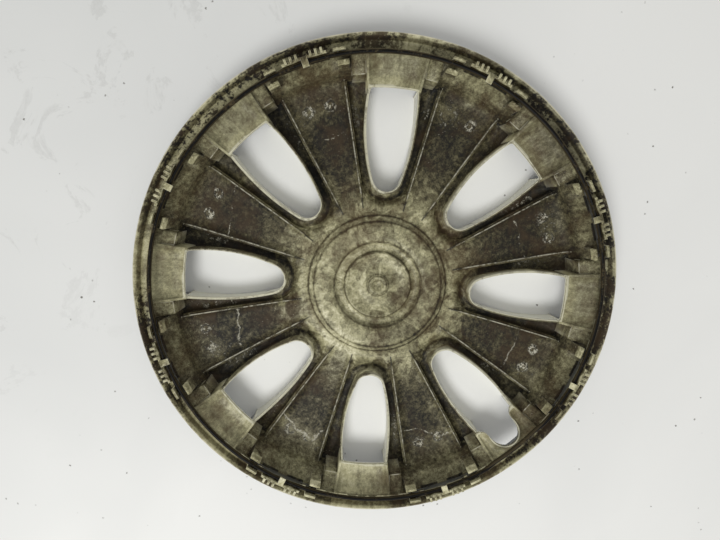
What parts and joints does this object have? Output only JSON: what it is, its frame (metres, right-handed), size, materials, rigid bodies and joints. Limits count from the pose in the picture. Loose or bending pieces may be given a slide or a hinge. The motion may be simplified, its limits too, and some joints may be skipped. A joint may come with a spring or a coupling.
{
  "type": "wheel cover",
  "caption": "Push-on wheel cover with ogive windows, spoke panels, a clip comb skirt and a retention wire ring, lying face down.",
  "frame": {"origin": "on the cover's axis, at the ground that the front ridges lie on", "axes": "+Z along the axis towards the wheel, so the rear faces up; -Y towards the valve notch"},
  "size_m": [0.43, 0.43, 0.0508],
  "materials": {
    "cover_plastic": "ivory moulded plastic, heavily stained with brake dust on the rear",
    "wire_steel": "black coated spring steel wire, worn and dusty"
  },
  "bodies": {
    "root": {"cover": "cover_plastic", "wire_ring": "wire_steel"}
  },
  "joints": []
}
